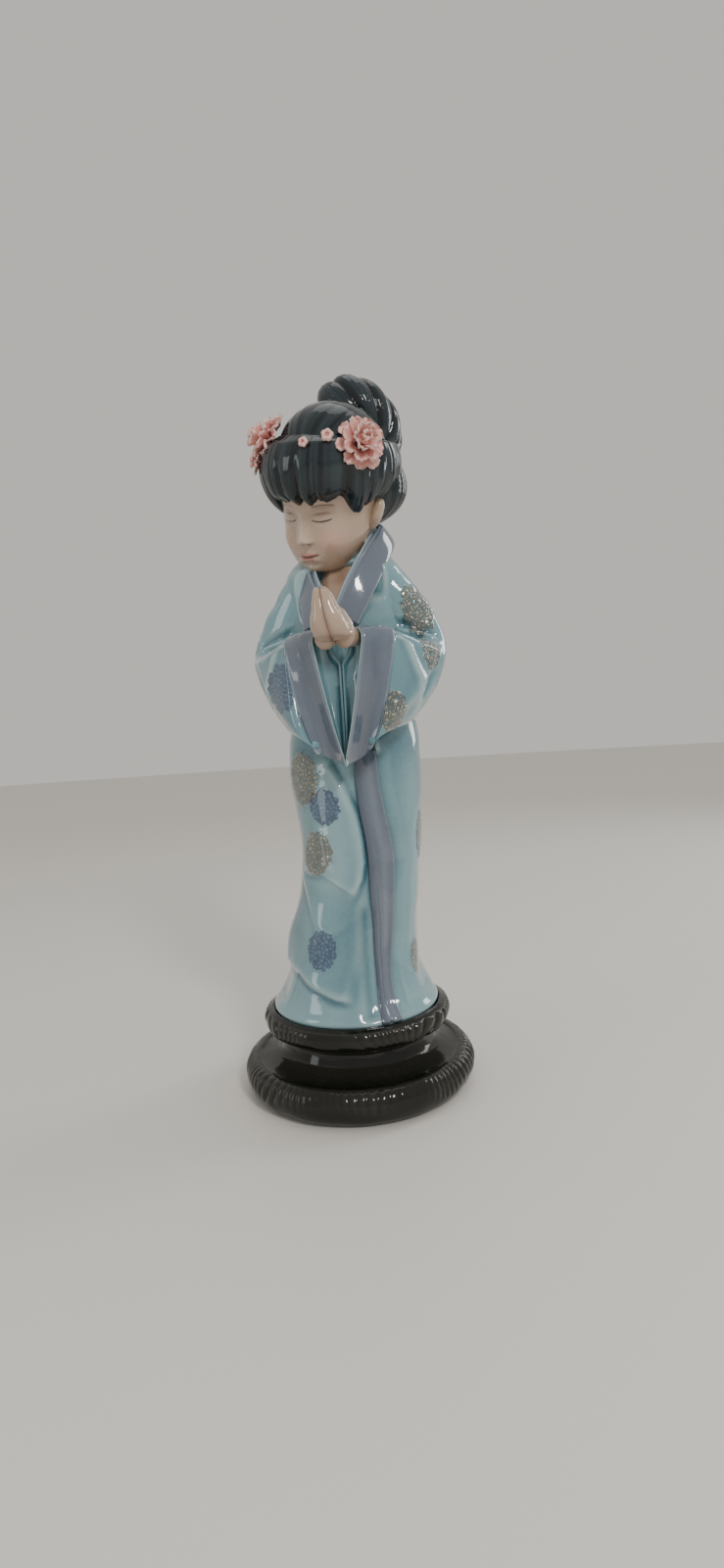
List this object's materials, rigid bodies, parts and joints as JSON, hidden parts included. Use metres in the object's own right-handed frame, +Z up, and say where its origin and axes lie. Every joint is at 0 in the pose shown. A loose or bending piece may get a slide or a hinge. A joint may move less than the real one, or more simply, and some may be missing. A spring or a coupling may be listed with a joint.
{
  "type": "porcelain figurine",
  "caption": "Standing figurine of a girl in a long-sleeved kimono with palms together; she rests in a shallow recess of a round glazed plinth and lifts out of it.",
  "frame": {"origin": "centre of the plinth's foot, on the table", "axes": "+Z up through the figurine, -Y towards the side the girl faces, +X towards her left hand"},
  "size_m": [0.0964, 0.0964, 0.2906],
  "materials": {
    "plinth_glaze": "gloss",
    "robe_glaze": "gloss",
    "band_glaze": "gloss",
    "obi_glaze": "gloss",
    "cord_glaze": "gloss",
    "under_collar_glaze": "gloss",
    "skin_glaze": "gloss",
    "face_glaze": "gloss",
    "hair_glaze": "gloss",
    "petal_bisque": "satin"
  },
  "bodies": {
    "plinth": {"plinth": "plinth_glaze"},
    "figure": {"skirt": "robe_glaze", "skirt_front_band": "band_glaze", "torso": "robe_glaze", "obi": "obi_glaze", "obi_knot": "obi_glaze", "obi_cord": "cord_glaze", "sleeve_left": "robe_glaze", "sleeve_right": "robe_glaze", "cuff_band_left": "band_glaze", "cuff_band_right": "band_glaze", "collar": "band_glaze", "under_collar": "under_collar_glaze", "neck": "skin_glaze", "hand_left": "skin_glaze", "hand_right": "skin_glaze", "head": "face_glaze", "ear_left": "skin_glaze", "ear_right": "skin_glaze", "hair_crown": "hair_glaze", "hair_fringe": "hair_glaze", "hair_back": "hair_glaze", "hair_bun": "hair_glaze", "flower_left_heart": "petal_bisque", "flower_left_petals": "petal_bisque", "flower_right_heart": "petal_bisque", "flower_right_petals": "petal_bisque", "hair_blossoms": "petal_bisque"}
  },
  "joints": [
    {"name": "figure_lift", "type": "slide", "parent": "plinth", "child": "figure", "axis": [0, 0, 1], "range_m": [0, 0.03]}
  ]
}
